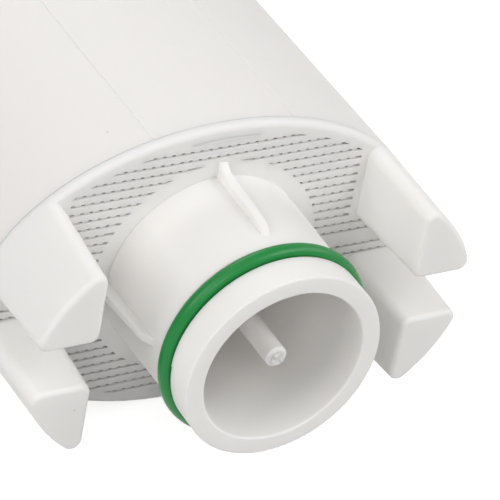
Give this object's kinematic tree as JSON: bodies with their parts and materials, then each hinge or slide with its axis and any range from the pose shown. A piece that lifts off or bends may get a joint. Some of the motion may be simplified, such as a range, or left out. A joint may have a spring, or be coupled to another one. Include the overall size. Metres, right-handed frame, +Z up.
{
  "type": "coffee machine water filter cartridge",
  "caption": "Oval water filter cartridge with a ribbed outlet neck and seal ring, a slotted intake grille between corner feet, and a turning date dial on its crown.",
  "frame": {"origin": "centre of the outlet neck's mouth, on the neck's axis; the filter lies on its broad side", "axes": "+Y along the neck's axis into the housing, +X along the oval's long axis, +Z up, along the oval's short axis"},
  "size_m": [0.0606, 0.106, 0.041],
  "materials": {
    "shell_plastic": "satin moulded white",
    "cap_plastic": "satin moulded white",
    "seal_rubber": "smooth green rubber",
    "riser_plastic": "plain moulded",
    "bed_granules": "packed beads and carbon granules",
    "dial_plastic": "satin moulded white"
  },
  "bodies": {
    "housing": {"housing_shell": "shell_plastic", "base_cap": "cap_plastic", "neck_seal": "seal_rubber", "riser_tube": "riser_plastic", "filter_bed": "bed_granules"},
    "dial": {"date_dial": "dial_plastic"}
  },
  "joints": [
    {"name": "dial_turn", "type": "hinge", "parent": "housing", "child": "dial", "pos_m": [0, 0.104, 0], "axis": [0, 1, 0], "continuous": true}
  ]
}
